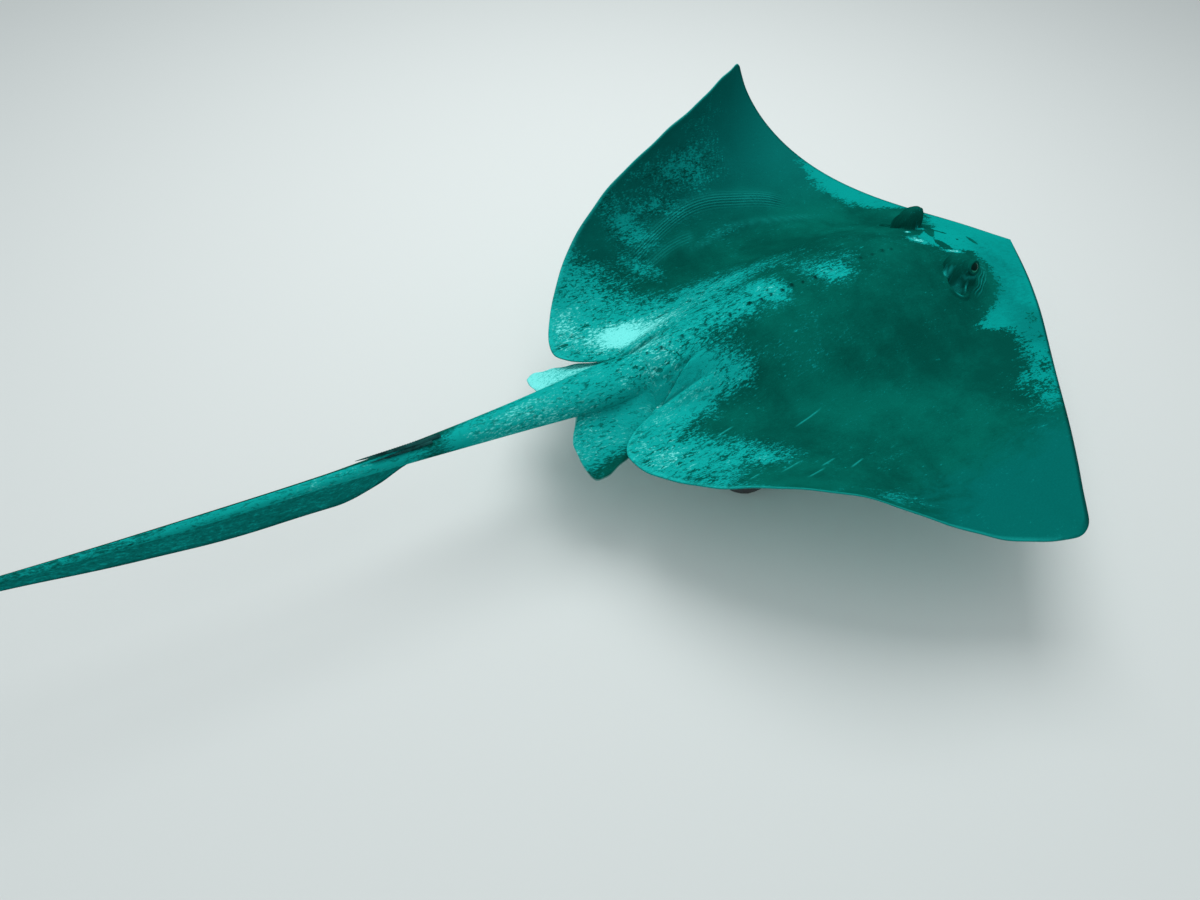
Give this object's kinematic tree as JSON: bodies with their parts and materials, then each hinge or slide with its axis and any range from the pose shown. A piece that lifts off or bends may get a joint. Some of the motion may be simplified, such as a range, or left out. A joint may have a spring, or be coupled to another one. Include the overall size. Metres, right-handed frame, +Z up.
{
  "type": "stingray display model",
  "caption": "Life-size still stingray, swimming with its left wing raised, on a flat base with two short rods.",
  "frame": {"origin": "on the floor under the middle of the whole model's bounding box", "axes": "+X towards the snout, +Y towards the animal's left, +Z up"},
  "size_m": [2.0086, 0.904, 0.443],
  "materials": {
    "skin": "wet slimy skin, dark green-teal back with aqua margins and rear, pale belly",
    "eye": "glossy, dark",
    "horn": "dull horn",
    "base_paint": "satin dark grey paint",
    "rod_steel": "brushed"
  },
  "bodies": {
    "root": {"head": "skin", "trunk": "skin", "left_wing": "skin", "right_wing": "skin", "left_pelvic_fin": "skin", "right_pelvic_fin": "skin", "tail_base": "skin", "tail_middle": "skin", "tail_rear": "skin", "tail_whip": "skin", "left_eye": "eye", "right_eye": "eye", "sting": "horn", "second_sting": "horn", "stand_base": "base_paint", "stand_front_rod": "rod_steel", "stand_rear_rod": "rod_steel"}
  },
  "joints": []
}
